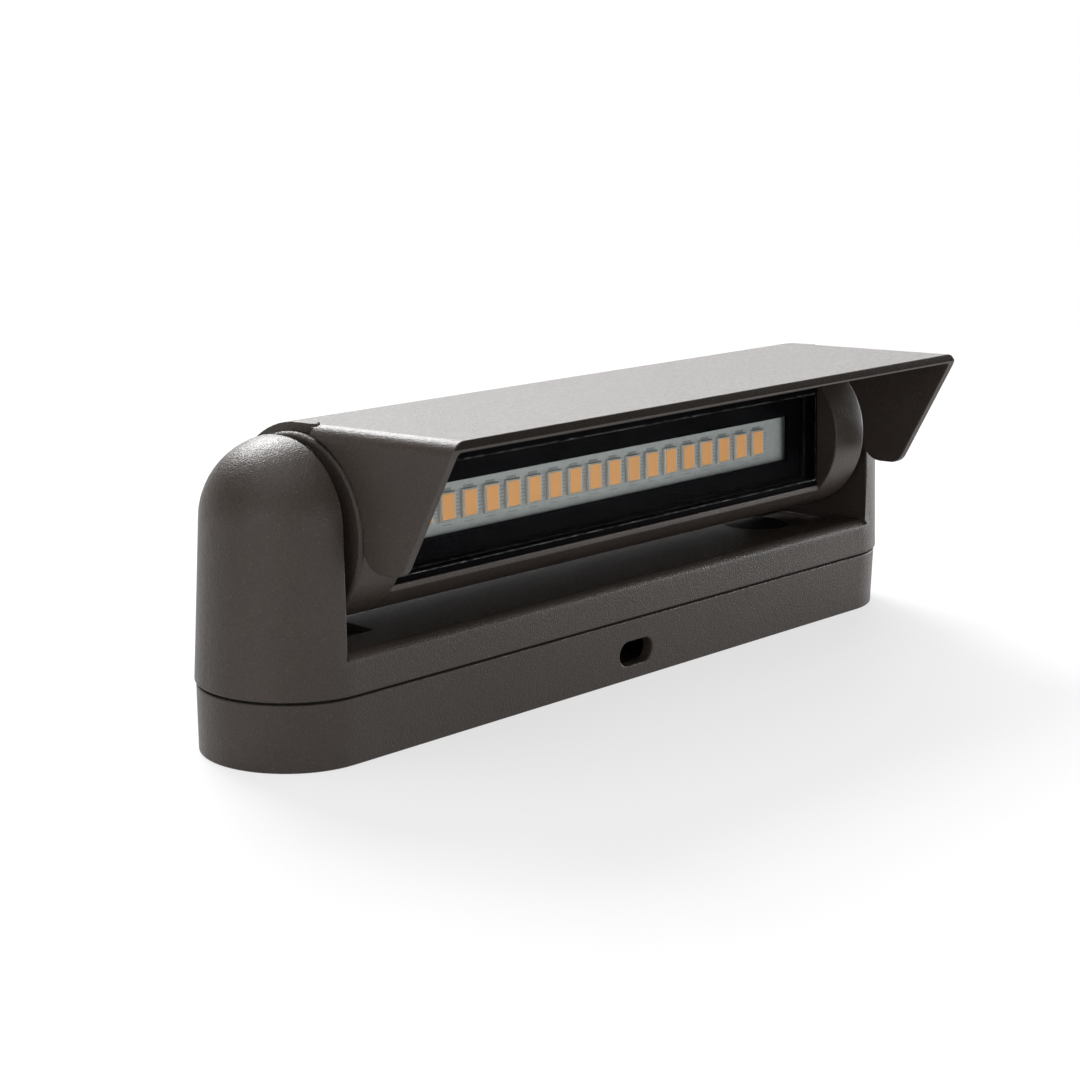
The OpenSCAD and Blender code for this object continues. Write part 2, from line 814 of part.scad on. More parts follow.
// From the middle of the hollow pivot bolt along the axis and forward to the light board
module head_lead() {
    turn_x = -lead_hole_x - lead_bend;
    color(black) on_axis() {
        rotate([0, 90, 0]) lead_run(-lead_meet_x, turn_x);
        translate([turn_x, -lead_bend, 0]) lead_turn();
        translate([-lead_hole_x, 0, 0]) rotate([90, 0, 0]) lead_run(lead_bend, -board_back);
    }
}

// Hood

// Filled outline of the folded sheet seen from the front, drawn in by a distance
module fold_outline(inset) {
    side = hood_half - inset;
    flat = hood_half - hood_bend;
    translate([-side, -2 * head_r]) square([2 * side, 2 * head_r + hood_out - hood_bend]);
    translate([-flat, 0]) square([2 * flat, hood_out - inset]);
    for (x = [-flat, flat]) translate([x, hood_out - hood_bend]) circle(hood_bend - inset);
}

// Outline of a wing seen from the side
module wing_outline() {
    difference() {
        union() {
            polygon([[-hood_reach, hood_out], [-hood_reach, wing_top],
                tip_front - tip_front_r * [cos(wing_slant), sin(wing_slant)],
                [tip_front[0], -wing_drop], [tip_back[0], -wing_drop], tip_back, [0, 0], [0, hood_out]]);
            translate(tip_front) circle(tip_front_r);
            translate(tip_back) circle(tip_back_r);
        }
        circle(wing_r);
    }
    translate([-wing_r - 1, hood_in]) square([wing_r + 1, hood_t]);
}

module hood() {
    color(metal) on_axis() difference() {
        union() {
            intersection() {
                translate([0, -relief_y, 0]) rotate([90, 0, 0])
                    linear_extrude(hood_reach - relief_y) difference() {
                        fold_outline(0);
                        translate([0, -2 * head_r]) fold_outline(hood_t);
                        fold_outline(hood_t);
                    }
                along_x(-hood_half - 1, hood_half + 1) wing_outline();
            }
            along_x(-wrap_half, wrap_half) wrap_outline();
        }
        for (side = [-1, 1])
            translate([side * wrap_half, -relief_y, 0]) cylinder(r = relief_r, h = above_all);
        for (x = hood_screw_x)
            translate([x, hood_out - hood_screw_sunk, 0]) rotate([-90, 0, 0]) sunk_hole(hood_t + 1);
    }
}

// Flat top behind the folds, running on round the back of the head
module wrap_outline() {
    translate([-relief_y - eps, hood_in]) square([relief_y + 2 * eps, hood_t]);
    intersection() {
        difference() {
            circle(hood_out);
            circle(hood_in);
        }
        back_sector(wrap_angle);
    }
}

module hood_screws() {
    tip_y = rib_front + rib_bite;
    color(steel) on_axis() for (x = hood_screw_x)
        translate([x, tip_y, 0]) rotate([-90, 0, 0]) sunk_screw(hood_out - hood_screw_sunk - tip_y);
}

base_canopy();
seam_gasket();
yoke_housing();
locking_screws();
sealing_plug();
driver_board();
driver_screws();
driver_inductor();
driver_capacitor();
driver_rectifier();
driver_chip();
input_terminal();
output_terminal();
supply_lead();
left_bushing();
right_bushing();
spring_washers();
head_extrusion();
left_end_cap();
right_end_cap();
cap_seals();
cap_screws();
left_pivot_bolt();
right_pivot_bolt();
pivot_nuts();
lens_glass();
lens_gasket();
board_bezel();
led_board();
thermal_pad();
led_packages();
led_phosphors();
head_lead();
hood();
hood_screws();
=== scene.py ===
# %% [markdown]
# # A small linear path light, dressed for its photograph
#
# The lamp is a round bar held between two posts. It stands on a low base, and a folded sheet hood
# shades its glass front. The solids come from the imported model, in metres, with the origin on the
# ground under the middle of the base, X along the lamp and -Y at its front.
# This script gives the solids their soft edges, finishes and small surface details, then sets up
# the floor, the light and the camera. Each step says what the piece is and why it is made that way.

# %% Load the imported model
import json
import math

import bmesh
import bpy
from mathutils import Matrix, Vector


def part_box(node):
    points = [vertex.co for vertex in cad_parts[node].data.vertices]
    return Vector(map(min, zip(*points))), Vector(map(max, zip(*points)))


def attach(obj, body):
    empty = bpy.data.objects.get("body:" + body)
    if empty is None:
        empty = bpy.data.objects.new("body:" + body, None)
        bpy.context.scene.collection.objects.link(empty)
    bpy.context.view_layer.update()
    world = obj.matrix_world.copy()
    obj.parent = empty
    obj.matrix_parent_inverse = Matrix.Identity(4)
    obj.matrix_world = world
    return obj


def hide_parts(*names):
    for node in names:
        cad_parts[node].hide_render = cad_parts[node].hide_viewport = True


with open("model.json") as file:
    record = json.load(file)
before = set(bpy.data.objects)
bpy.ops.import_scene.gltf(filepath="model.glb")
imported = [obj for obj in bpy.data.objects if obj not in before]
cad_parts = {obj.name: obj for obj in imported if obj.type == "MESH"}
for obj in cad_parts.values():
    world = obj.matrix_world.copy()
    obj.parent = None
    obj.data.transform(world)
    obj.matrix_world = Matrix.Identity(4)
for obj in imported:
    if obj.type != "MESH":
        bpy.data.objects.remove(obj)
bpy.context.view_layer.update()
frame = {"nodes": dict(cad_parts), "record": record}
MM = 0.001

# %% [markdown]
# ## Where things are
#
# Everything on the lamp head is drawn round the tilt axis and aimed slightly upward. The height of
# that axis is in the record. The aim is worked out from the light board: a thin upright plate that
# leans has a deeper box than its own thickness, so its box gives the angle away.

# %% Tilt axis and aim of the head
record = frame["record"]
BODY_OF = {node: body for body, nodes in record["behaviour"]["bodies"].items() for node in nodes}
AXIS_Z = record["behaviour"]["joints"][0]["pos_m"][2]
BOARD_THICKNESS = 1.6 * MM
LARGEST_AIM = 0.1
AIM_STEP = 0.0001


def board_span(angle, thickness, height):
    """Depth in Y of a leaning board whose box is height tall."""
    face = (height - thickness * math.sin(angle)) / math.cos(angle)
    return face * math.sin(angle) + thickness * math.cos(angle)


def board_aim():
    """The head's upward aim in radians, from the box of the thin light board."""
    low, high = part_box("led_board")
    height, depth = high[2] - low[2], high[1] - low[1]
    tries = [step * AIM_STEP for step in range(round(LARGEST_AIM / AIM_STEP))]
    return min(tries, key=lambda angle: abs(board_span(angle, BOARD_THICKNESS, height) - depth))


AIM = board_aim()
TO_HEAD = Matrix.Translation((0, 0, AXIS_Z)) @ Matrix.Rotation(-AIM, 4, "X")
print("axis height mm:", round(AXIS_Z / MM, 2), "aim degrees:", round(math.degrees(AIM), 2))

# %% [markdown]
# ## A finish under construction
#
# Every finish is a Principled shader with patterns on Object coordinates. The whole lamp is modelled
# in metres at the origin, so a pattern's size can be given in real millimetres, and it stays on the
# piece when the head tilts. A small class keeps the building of each finish short. A value that is
# the same all over goes straight on the shader, and only what varies comes from nodes.


# %% Class for finishes
class Finish:
    """A material being built: node() adds a node, and set values go straight on the shader."""

    def __init__(self, name, **values):
        self.material = bpy.data.materials.new(name)
        self.material.use_nodes = True
        self.tree = self.material.node_tree
        self.shader = self.tree.nodes["Principled BSDF"]
        coordinates = self.tree.nodes.new("ShaderNodeTexCoord")
        self.place = coordinates.outputs["Object"]
        self.facing = coordinates.outputs["Normal"]
        for socket, value in values.items():
            self.shader.inputs[socket.replace("_", " ")].default_value = value

    def node(self, kind, inputs=None, **settings):
        """Adds a node. Inputs are plain values or the outputs of other nodes."""
        made = self.tree.nodes.new("ShaderNode" + kind)
        for name, value in settings.items():
            setattr(made, name, value)
        for socket, value in (inputs or {}).items():
            if isinstance(value, bpy.types.NodeSocket):
                self.tree.links.new(value, made.inputs[socket])
            else:
                made.inputs[socket].default_value = value
        return made

    def feed(self, socket, source):
        """Lets a pattern drive a socket of the shader."""
        self.tree.links.new(source, self.shader.inputs[socket])


print("helper ready:", Finish.__name__)

# %% [markdown]
# ## Patterns in real millimetres
#
# Noise makes grain and clouds, Voronoi cells make granules, and a Bump node turns either into relief
# of a known depth. Noise values crowd round a half, so ranged() stretches the middle of them to the
# values that are wanted. The edge mask compares the true normal with one that the Bevel node rounds
# off. They differ only near a sharp edge, which is where the coat gets a lighter tone, partly for thin
# coat and partly as a painted highlight line, and where glass is ground.


# %% Pattern helpers
def grain(finish, size_mm, detail=2.0, stretch=(1, 1, 1)):
    """Soft random pattern whose blobs are about size_mm wide."""
    spot = finish.node("Mapping", {"Vector": finish.place, "Scale": stretch})
    noise = finish.node("TexNoise", {"Vector": spot.outputs[0], "Scale": 1 / (size_mm * MM),
                                     "Detail": detail, "Roughness": 0.55})
    return noise.outputs["Fac"]


def cells(finish, size_mm):
    """Distance to the middle of the nearest cell, for granules and flecks."""
    made = finish.node("TexVoronoi", {"Vector": finish.place, "Scale": 1 / (size_mm * MM)})
    return made.outputs["Distance"]


def ranged(finish, source, low, high, start=0.3, end=0.7):
    """Stretches the middle of a pattern to a range of values."""
    made = finish.node("MapRange", {"Value": source, "From Min": start, "From Max": end,
                                    "To Min": low, "To Max": high})
    return made.outputs["Result"]


def blended(finish, factor, first, second):
    """Colour that goes from first to second as the factor goes from 0 to 1."""
    mix = finish.node("Mix", data_type="RGBA")
    factor_in, first_in, second_in = mix.inputs[0], mix.inputs[6], mix.inputs[7]
    finish.tree.links.new(factor, factor_in)
    for socket, value in ((first_in, first), (second_in, second)):
        if isinstance(value, bpy.types.NodeSocket):
            finish.tree.links.new(value, socket)
        else:
            socket.default_value = (*value, 1)
    return mix.outputs[2]


def combined(finish, operation, first, second):
    """One step of arithmetic on patterns or plain numbers."""
    made = finish.node("Math", {0: first, 1: second}, operation=operation)
    return made.outputs[0]


def raised(finish, height, depth_mm, normal=None):
    """Relief of a real depth, on top of another one if given."""
    inputs = {"Height": height, "Distance": depth_mm * MM, "Strength": 1.0}
    if normal is not None:
        inputs["Normal"] = normal
    return finish.node("Bump", inputs).outputs["Normal"]


def edge_mask(finish, reach_mm, strength=6.0):
    """1 on sharp edges and 0 on open faces, from how much a rounded normal would differ."""
    rounded = finish.node("Bevel", {"Radius": reach_mm * MM}, samples=4)
    true = finish.node("NewGeometry")
    likeness = finish.node("VectorMath", {0: rounded.outputs[0], 1: true.outputs["Normal"]},
                           operation="DOT_PRODUCT")
    away = combined(finish, "SUBTRACT", 1.0, likeness.outputs["Value"])
    made = finish.node("Math", {0: away, 1: strength}, operation="MULTIPLY", use_clamp=True)
    return made.outputs[0]


print("pattern helpers ready, 1 mm is", MM)

# %% [markdown]
# ## Bronze powder coat
#
# The castings, the extruded body and the hood share one finish: a dark bronze powder coat with a
# fine, slightly pebbled skin. Powder melts into tiny bumps about a third of a millimetre across over
# slower orange-peel waves. Both go into the relief. Along every sharp edge the coat is painted much
# lighter, partly for the coat running thin there and partly as a painted highlight line. A few bright
# flecks stand for the metal pigment in the powder. The colour could be one flat value, but then the
# large faces would look like plastic: clouds some 14 mm wide give them depth, and the hollows between
# the bumps are painted darker as painted shade.

# %% Bronze coat
COAT_DARK = (0.024, 0.0178, 0.0145)
COAT_LIGHT = (0.048, 0.037, 0.0305)
# Painted highlight: the edge colour, far lighter than the coat, partly stands for thin coat.
COAT_THIN_AND_HIGHLIGHT = (0.16, 0.135, 0.12)
METAL_FLECK = (0.22, 0.20, 0.18)


def bronze_coat(name, tone=1.0, gloss=0.3):
    """Powder coat. The tone scales its colour, and the gloss is its specular level."""
    coat = Finish(name, Specular_IOR_Level=gloss)
    dark, light = ([tone * value for value in colour] for colour in (COAT_DARK, COAT_LIGHT))
    pebbles = grain(coat, 0.34, 1.0)
    clouds = ranged(coat, grain(coat, 14.0, 3.0), 0.7, 1.0)
    # Painted shade: the colour darkens in the hollows of the pebble relief, and random clouds vary it.
    clouds_and_hollow_shade = combined(coat, "MULTIPLY", ranged(coat, pebbles, 0.45, 1.0), clouds)
    body = blended(coat, clouds_and_hollow_shade, dark, light)
    fleck = combined(coat, "LESS_THAN", cells(coat, 0.45), 0.16)
    rare = combined(coat, "GREATER_THAN", grain(coat, 1.1), 0.56)
    faint_fleck = combined(coat, "MULTIPLY", combined(coat, "MULTIPLY", fleck, rare), 0.35)
    flecked = blended(coat, faint_fleck, body, METAL_FLECK)
    # Painted highlight: sharp edges take the lighter edge colour.
    thin_and_highlight = combined(coat, "MULTIPLY", edge_mask(coat, 0.25), 0.22)
    coat.feed("Base Color", blended(coat, thin_and_highlight, flecked, COAT_THIN_AND_HIGHLIGHT))
    coat.feed("Roughness", ranged(coat, grain(coat, 0.8, 3.0), 0.37, 0.46))
    relief = raised(coat, pebbles, 0.085)
    coat.feed("Normal", raised(coat, grain(coat, 1.3, 1.0), 0.03, relief))
    return coat.material


bronze = bronze_coat("bronze_powder_coat")
print("made", bronze.name)

# %% [markdown]
# ## Rubber, plastics and nylon
#
# The gaskets and the round plug are matte moulded rubber. The bezel, the bushings and the lead
# sheath are black as well, but each takes light in its own way: rubber is the dullest, nylon is
# waxy, and the bezel has a fine spark-eroded texture. The bezel's black is far darker than the
# rubber's, a painted shade for the dark inside of the head behind the glass, and the lens gasket there
# takes it too. They are all moulded, so one function makes them. It takes a dark and a light colour,
# a range of roughness, and the width and the depth of the blobs in the skin.


# %% Soft black and moulded finishes
def moulded(name, dark, light, rough, blob_mm, depth_mm, **values):
    """Moulded plastic or rubber: a mottled colour over a fine skin."""
    finish = Finish(name, **values)
    mottle = ranged(finish, grain(finish, 6 * blob_mm, 3.0), 0, 1)
    finish.feed("Base Color", blended(finish, mottle, dark, light))
    finish.feed("Roughness", ranged(finish, grain(finish, 2 * blob_mm), *rough))
    finish.feed("Normal", raised(finish, grain(finish, blob_mm, 3.0), depth_mm))
    return finish.material


rubber = moulded("matte_rubber", (0.004, 0.004, 0.004), (0.009, 0.009, 0.009), rough=(0.6, 0.75),
                 blob_mm=0.22, depth_mm=0.02, Specular_IOR_Level=0.15)
# Painted shade: near-zero black for the bezel deep behind the glass.
bezel_and_shade_black = moulded("bezel_and_shade_black", (0.0015, 0.0015, 0.002), (0.003, 0.003, 0.004),
                      rough=(0.55, 0.7), blob_mm=0.12, depth_mm=0.008, Specular_IOR_Level=0.01)
nylon = moulded("black_nylon", (0.010, 0.010, 0.010), (0.018, 0.018, 0.017), rough=(0.38, 0.5),
                blob_mm=0.4, depth_mm=0.012)
sheath = moulded("lead_sheath", (0.010, 0.010, 0.011), (0.02, 0.02, 0.02), rough=(0.4, 0.5),
                 blob_mm=0.3, depth_mm=0.008)
moulded_black = moulded("component_black", (0.009, 0.009, 0.010), (0.02, 0.02, 0.021),
                        rough=(0.3, 0.42), blob_mm=0.15, depth_mm=0.008)
terminal_green = moulded("terminal_green", (0.02, 0.16, 0.07), (0.035, 0.22, 0.10),
                         rough=(0.35, 0.48), blob_mm=0.3, depth_mm=0.008)
ferrite = moulded("ferrite_grey", (0.018, 0.018, 0.02), (0.04, 0.04, 0.043), rough=(0.5, 0.7),
                  blob_mm=0.2, depth_mm=0.015)
pad_grey = moulded("thermal_pad_grey", (0.16, 0.17, 0.19), (0.23, 0.24, 0.26), rough=(0.7, 0.85),
                   blob_mm=0.25, depth_mm=0.02)
MOULDED = (rubber, bezel_and_shade_black, nylon, sheath, moulded_black, terminal_green, ferrite, pad_grey)
print("made", ", ".join(material.name for material in MOULDED))

# %% [markdown]
# ## Steel and copper
#
# The screws and pivots are turned stainless steel, with fine grooves round the turned surface. The
# same noise makes them when it is drawn out in Y and Z and stays fine along X, the axis of the
# pivots. That is right for the pivots, and near enough for the small screws that point other ways.
# The winding is lacquered copper, which is a metal under a thin clear coat.


# %% Metal finishes
def turned_steel(name):
    """Turned stainless steel with fine grooves."""
    metal = Finish(name, Metallic=1.0)
    groove = grain(metal, 0.12, 2.0, stretch=(1, 0.12, 0.12))
    stain = ranged(metal, grain(metal, 2.0), 0, 1)
    metal.feed("Base Color", blended(metal, stain, (0.42, 0.41, 0.40), (0.56, 0.55, 0.53)))
    metal.feed("Roughness", ranged(metal, groove, 0.22, 0.42))
    metal.feed("Normal", raised(metal, groove, 0.006))
    return metal.material


def copper_wire(name):
    """Copper wire under clear lacquer."""
    wire = Finish(name, Metallic=1.0, Coat_Weight=0.5)
    stain = ranged(wire, grain(wire, 1.5), 0, 1)
    wire.feed("Base Color", blended(wire, stain, (0.50, 0.20, 0.09), (0.66, 0.30, 0.14)))
    wire.feed("Roughness", ranged(wire, grain(wire, 0.5), 0.25, 0.4))
    return wire.material


steel = turned_steel("turned_steel")
copper = copper_wire("lacquered_copper")
print("made", steel.name, "and", copper.name)

# %% [markdown]
# ## Boards and light sources
#
# A board has a mask over its etched tracks, and the light board's mask is a cloudy pale grey-green.
# A light source is a moulded frame round silicone that is full of fine orange phosphor grains, so it
# looks flat and slightly mottled when the lamp is off. The frame's rim has nearly the tone of the
# board. Its sides are painted pale and warm by how far the surface faces along the row, a painted
# light on sides that sit in shade. Light also scatters through the milky plastic.


# %% Board, phosphor and package finishes
def masked_board(name, dark, light, line_mm):
    """Solder mask over etched tracks: the tracks lift the mask by a few hundredths."""
    board = Finish(name)
    tracks = board.node("TexBrick", {"Vector": board.place, "Scale": 1 / (line_mm * MM), "Mortar Size": 0.12,
                                     "Color1": (1, 1, 1, 1), "Color2": (1, 1, 1, 1), "Mortar": (0, 0, 0, 1)})
    cloud = combined(board, "MULTIPLY", ranged(board, grain(board, 1.2, 3.0), 0.55, 1.0),
                     ranged(board, grain(board, 0.25), 0.85, 1.0))
    board.feed("Base Color", blended(board, cloud, dark, light))
    board.feed("Roughness", ranged(board, grain(board, 0.4), 0.42, 0.55))
    board.feed("Normal", raised(board, tracks.outputs["Fac"], 0.02))
    return board.material


def phosphor_face(name):
    """Orange silicone with fine grains in it."""
    silicone = Finish(name, Specular_IOR_Level=0.3)
    granules = combined(silicone, "MULTIPLY", ranged(silicone, cells(silicone, 0.16), 1.0, 0.6, 0.1, 0.8),
                        ranged(silicone, grain(silicone, 0.9), 0.8, 1.0))
    silicone.feed("Base Color", blended(silicone, granules, (0.90, 0.40, 0.12), (0.96, 0.50, 0.18)))
    silicone.feed("Roughness", ranged(silicone, grain(silicone, 0.3), 0.5, 0.65))
    silicone.feed("Normal", raised(silicone, grain(silicone, 0.2), 0.01))
    return silicone.material


def package_resin(name):
    """Milky moulded plastic with a dull rim, its sides painted pale and warm as painted light."""
    resin = Finish(name, Subsurface_Weight=1.0, Subsurface_Scale=0.9 * MM, Subsurface_Radius=(1.0, 1.0, 1.0))
    sideways = resin.node("SeparateXYZ", {0: resin.facing}).outputs["X"]
    painted_side_light = resin.node("Math", {0: sideways}, operation="ABSOLUTE").outputs[0]
    mottle = ranged(resin, grain(resin, 1.2, 3.0), 0, 1)
    rim = blended(resin, mottle, (0.34, 0.36, 0.34), (0.42, 0.43, 0.40))
    # Painted light: faces that point along X get a pale warm colour in place of their shade.
    resin.feed("Base Color", blended(resin, painted_side_light, rim, (0.96, 0.82, 0.72)))
    resin.feed("Roughness", ranged(resin, grain(resin, 0.4), 0.4, 0.5))
    resin.feed("Normal", raised(resin, grain(resin, 0.2, 3.0), 0.005))
    return resin.material


light_mask = masked_board("light_board_mask", (0.28, 0.32, 0.31), (0.42, 0.46, 0.45), line_mm=3.0)
green_mask = masked_board("driver_board_mask", (0.012, 0.09, 0.045), (0.02, 0.14, 0.07), line_mm=2.2)
package_pale = package_resin("package_pale")
phosphor = phosphor_face("phosphor_silicone")
print("made", ", ".join(made.name for made in (light_mask, green_mask, package_pale, phosphor)))

# %% [markdown]
# ## Glass
#
# The front is a flat pane with a coating against reflections: a viewer looks straight through it to
# the black bezel, and only a faint sheen shows. A mostly clear Principled shader does that: its
# small alpha lets light and shadow rays pass, and what is left of its gloss is the sheen. A trace
# of dust changes the alpha and the roughness a little. The pane's ground edges are frosted, so
# there the alpha rises and a broken light line shows.


# %% Clear pane
def clear_pane(name):
    """Coated glass with a trace of dust and frosted edges."""
    pane = Finish(name, Specular_IOR_Level=0.35)
    dust = ranged(pane, grain(pane, 5.0, 4.0), 0.0, 1.0)
    frost = ranged(pane, grain(pane, 1.5, 3.0), 0.3, 1.0)
    ground = combined(pane, "MULTIPLY", edge_mask(pane, 0.5), frost)
    clear = blended(pane, dust, (0.004, 0.005, 0.005), (0.012, 0.013, 0.014))
    sheen = ranged(pane, grain(pane, 7.0, 4.0), 0.02, 0.035)
    pane.feed("Base Color", blended(pane, ground, clear, (0.85, 0.88, 0.88)))
    pane.feed("Alpha", combined(pane, "MAXIMUM", sheen, ground))
    pane.feed("Roughness", ranged(pane, grain(pane, 3.0), 0.04, 0.12))
    return pane.material


glass = clear_pane("coated_glass")
print("made", glass.name)

# %% [markdown]
# ## Soft edges on the main pieces
#
# No cast, extruded or cut edge is razor sharp, and the thin light line along each edge is what makes
# metal look real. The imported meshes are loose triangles, so a copy is merged and its flat areas
# become single faces. A Bevel modifier then rounds the sharp edges only, and weighted normals keep
# the flats flat. The copy rides on the same body and stands for the node.


# %% Rounded copy of a node
def merged_copy(node, name):
    """A joined-up copy of a node's mesh with its flat areas as single faces."""
    mesh = frame["nodes"][node].data.copy()
    mesh.name = name
    stored = mesh.attributes.get("custom_normal")
    if stored:
        mesh.attributes.remove(stored)
    shape = bmesh.new()
    shape.from_mesh(mesh)
    bmesh.ops.remove_doubles(shape, verts=shape.verts, dist=0.002 * MM)
    bmesh.ops.dissolve_limit(shape, angle_limit=math.radians(0.5), verts=shape.verts, edges=shape.edges)
    for face in shape.faces:
        face.smooth = True
    open_edges = sum(1 for edge in shape.edges if len(edge.link_faces) != 2)
    shape.to_mesh(mesh)
    shape.free()
    made = bpy.data.objects.new(name, mesh)
    bpy.context.scene.collection.objects.link(made)
    return made, open_edges


def softened(node, width_mm, segments=3, corner=35):
    """A copy of the node with rounded edges, riding and finished as the node is."""
    made, open_edges = merged_copy(node, node + "_soft")
    bevel = made.modifiers.new("soft edges", "BEVEL")
    bevel.width = width_mm * MM
    bevel.segments = segments
    bevel.limit_method = "ANGLE"
    bevel.angle_limit = math.radians(corner)
    bevel.use_clamp_overlap = False
    bevel.miter_outer = "MITER_ARC"
    even = made.modifiers.new("flat stays flat", "WEIGHTED_NORMAL")
    even.keep_sharp = False
    even.weight = 80
    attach(made, BODY_OF[node])
    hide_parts(node)
    print(node, "faces:", len(made.data.polygons), "open edges:", open_edges)
    return made


def paint(thing, material):
    """Gives an object one material, whatever slots it came with."""
    thing.data.materials.clear()
    thing.data.materials.append(material)


# %% [markdown]
# ## Castings, body and hood
#
# The base and the yoke are castings, with the roundest edges. The end caps come next, then the sheet
# hood and the extruded body, whose edges are crisp. A larger width than these was tried on the yoke
# and left a dark line along the web, so every width stays well under half a millimetre.

# %% Soften the coated pieces
COATED = {"base_canopy": 0.35, "yoke_housing": 0.35, "head_extrusion": 0.2, "left_end_cap": 0.3,
          "right_end_cap": 0.3, "hood": 0.22}
pieces = {}
for node, width_mm in COATED.items():
    pieces[node] = softened(node, width_mm)
    paint(pieces[node], bronze)
print("coated:", len(COATED))

# %% [markdown]
# ## Painted shade on the hood's front edge
#
# The hood is cut from sheet. Its front edge face takes a second, duller coat with a darker colour,
# which is a painted shade on that edge. The edge is the hood's front face, so it is found by where it
# is and which way it points.


# %% Painted shade: a darker coat for the edge
def paint_front_edge(hood, material):
    """Gives the foremost flat face of the hood the second material."""
    hood.data.materials.append(material)
    nearly_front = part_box("hood")[0][1] + 0.8 * MM
    edge_faces = [face for face in hood.data.polygons
                  if face.normal.y < -0.95 and face.center.y < nearly_front]
    for face in edge_faces:
        face.material_index = 1
    print("faces on the front edge:", len(edge_faces))


# Painted shade: a darker, duller copy of the coat for the hood's front edge.
paint_front_edge(pieces["hood"], bronze_coat("bronze_painted_shade_edge", tone=0.4, gloss=0.02))

# %% [markdown]
# ## Rubber, bushings, bezel, glass and glowing faces
#
# These pieces show beside the bronze ones. They are softened too, by less where the piece is thin:
# the seam gasket is under half a millimetre, and a glowing face has only a trace of a round edge.

# %% Soften the small visible pieces
SMALL = {
    # Painted shade: the lens gasket takes the bezel's darker black, not the rubber.
    "sealing_plug": (0.25, rubber), "seam_gasket": (0.08, rubber), "lens_gasket": (0.12, bezel_and_shade_black),
    "board_bezel": (0.1, bezel_and_shade_black), "left_bushing": (0.25, nylon), "right_bushing": (0.25, nylon),
    "led_phosphors": (0.04, phosphor), "lens_glass": (0.25, glass),
}
for node, (width_mm, material) in SMALL.items():
    pieces[node] = softened(node, width_mm, segments=2)
    paint(pieces[node], material)
print("small pieces:", len(SMALL))

# %% [markdown]
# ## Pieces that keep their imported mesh
#
# Fasteners, seals, the boards, the driver's parts and the leads are flat, tiny or hidden, and their
# solids already have the right shape. Only their finish changes.

# %% Finishes of the kept nodes
KEPT = {
    "locking_screws": steel, "driver_board": green_mask, "driver_screws": steel, "driver_inductor": ferrite,
    "driver_capacitor": moulded_black, "driver_rectifier": moulded_black, "driver_chip": moulded_black,
    "input_terminal": terminal_green, "output_terminal": terminal_green, "supply_lead": sheath,
    "spring_washers": steel, "cap_seals": rubber, "cap_screws": steel, "left_pivot_bolt": steel,
    "right_pivot_bolt": steel, "pivot_nuts": steel, "led_board": light_mask, "thermal_pad": pad_grey,
    "head_lead": sheath, "hood_screws": steel,
}
for node, material in KEPT.items():
    paint(frame["nodes"][node], material)
print("kept as packed:", len(KEPT), "softened:", len(pieces), "of", len(frame["nodes"]))

# %% [markdown]
# ## Rows of small things
#
# The light board repeats the same small set of details at one pitch. Geometry Nodes suits that: one
# group with named sizes makes the points of the row and puts a copy on each. The helper below writes
# such a group, runs it once and keeps the plain mesh that comes out.


# %% Geometry Nodes helper
class Tree:
    """A geometry node tree being built, with named inputs for its sizes."""

    def __init__(self, name, **sizes):
        self.group = bpy.data.node_groups.new(name, "GeometryNodeTree")
        self.sizes = sizes
        for label, value in sizes.items():
            kind = "NodeSocketInt" if isinstance(value, int) else "NodeSocketFloat"
            self.group.interface.new_socket(label, in_out="INPUT", socket_type=kind)
        self.group.interface.new_socket("Geometry", in_out="OUTPUT", socket_type="NodeSocketGeometry")
        self.entry = self.group.nodes.new("NodeGroupInput")
        self.exit = self.group.nodes.new("NodeGroupOutput")

    def size(self, label):
        """The tree's own input of that name."""
        return self.entry.outputs[label]

    def node(self, kind, inputs=None, outlet=0, **settings):
        """Adds a node and returns one of its outputs."""
        made = self.group.nodes.new(kind)
        for name, value in settings.items():
            setattr(made, name, value)
        for socket, value in (inputs or {}).items():
            if isinstance(value, bpy.types.NodeSocket):
                self.group.links.new(value, made.inputs[socket])
            else:
                made.inputs[socket].default_value = value
        return made.outputs[outlet]

    def maths(self, operation, first, second):
        """One step of arithmetic."""
        return self.node("ShaderNodeMath", {0: first, 1: second}, operation=operation)

    def spot(self, x=0.0, y=0.0, z=0.0):
        """A point or a size from three numbers or outputs."""
        return self.node("ShaderNodeCombineXYZ", {"X": x, "Y": y, "Z": z})

    def joined(self, parts):
        """All the parts as one geometry."""
        join = self.group.nodes.new("GeometryNodeJoinGeometry")
        for part in parts:
            self.group.links.new(part, join.inputs[0])
        return join.outputs[0]

    def to_mesh(self, name, result, material):
        """Ends the tree, runs it once on an empty mesh and returns the plain mesh object."""
        real = self.node("GeometryNodeRealizeInstances", {0: result})
        done = self.node("GeometryNodeSetMaterial", {0: real, "Material": material})
        self.group.links.new(done, self.exit.inputs[0])
        carrier = bpy.data.objects.new(name + "_carrier", bpy.data.meshes.new(name + "_carrier"))
        bpy.context.scene.collection.objects.link(carrier)
        run = carrier.modifiers.new("build", "NODES")
        run.node_group = self.group
        for item in self.group.interface.items_tree:
            if item.in_out == "INPUT":
                run[item.identifier] = self.sizes[item.name]
        evaluated = carrier.evaluated_get(bpy.context.evaluated_depsgraph_get())
        mesh = bpy.data.meshes.new_from_object(evaluated)
        mesh.name = name
        bpy.data.objects.remove(carrier)
        made = bpy.data.objects.new(name, mesh)
        bpy.context.scene.collection.objects.link(made)
        print(name, "faces:", len(mesh.polygons))
        return made


